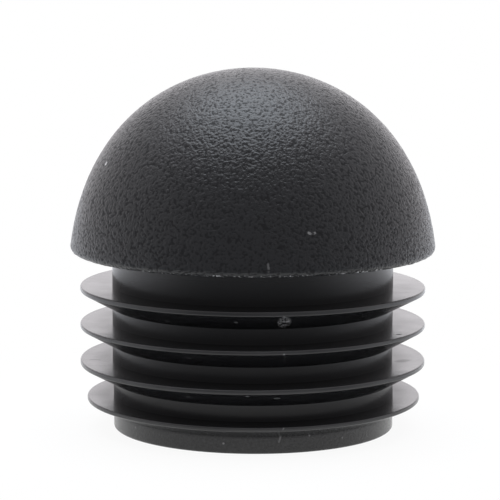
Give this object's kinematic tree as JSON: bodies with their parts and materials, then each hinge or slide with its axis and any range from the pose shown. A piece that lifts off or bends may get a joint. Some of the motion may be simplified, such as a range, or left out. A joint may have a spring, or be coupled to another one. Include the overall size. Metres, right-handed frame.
{
  "type": "tube end cap",
  "caption": "Round tube end cap with a domed, fine-grained head and a hollow finned insert that pushes into the tube and grips its bore.",
  "frame": {"origin": "middle of the insert's open end, on the plane the cap stands on", "axes": "+Z along the cap's axis, from the insert's open end towards the dome"},
  "size_m": [0.032, 0.032, 0.0316],
  "materials": {
    "black_polyethylene": "fine eroded grain with a satin sheen on the dome, smooth semi-gloss on the insert and fins"
  },
  "bodies": {
    "root": {"end_cap": "black_polyethylene"}
  },
  "joints": []
}
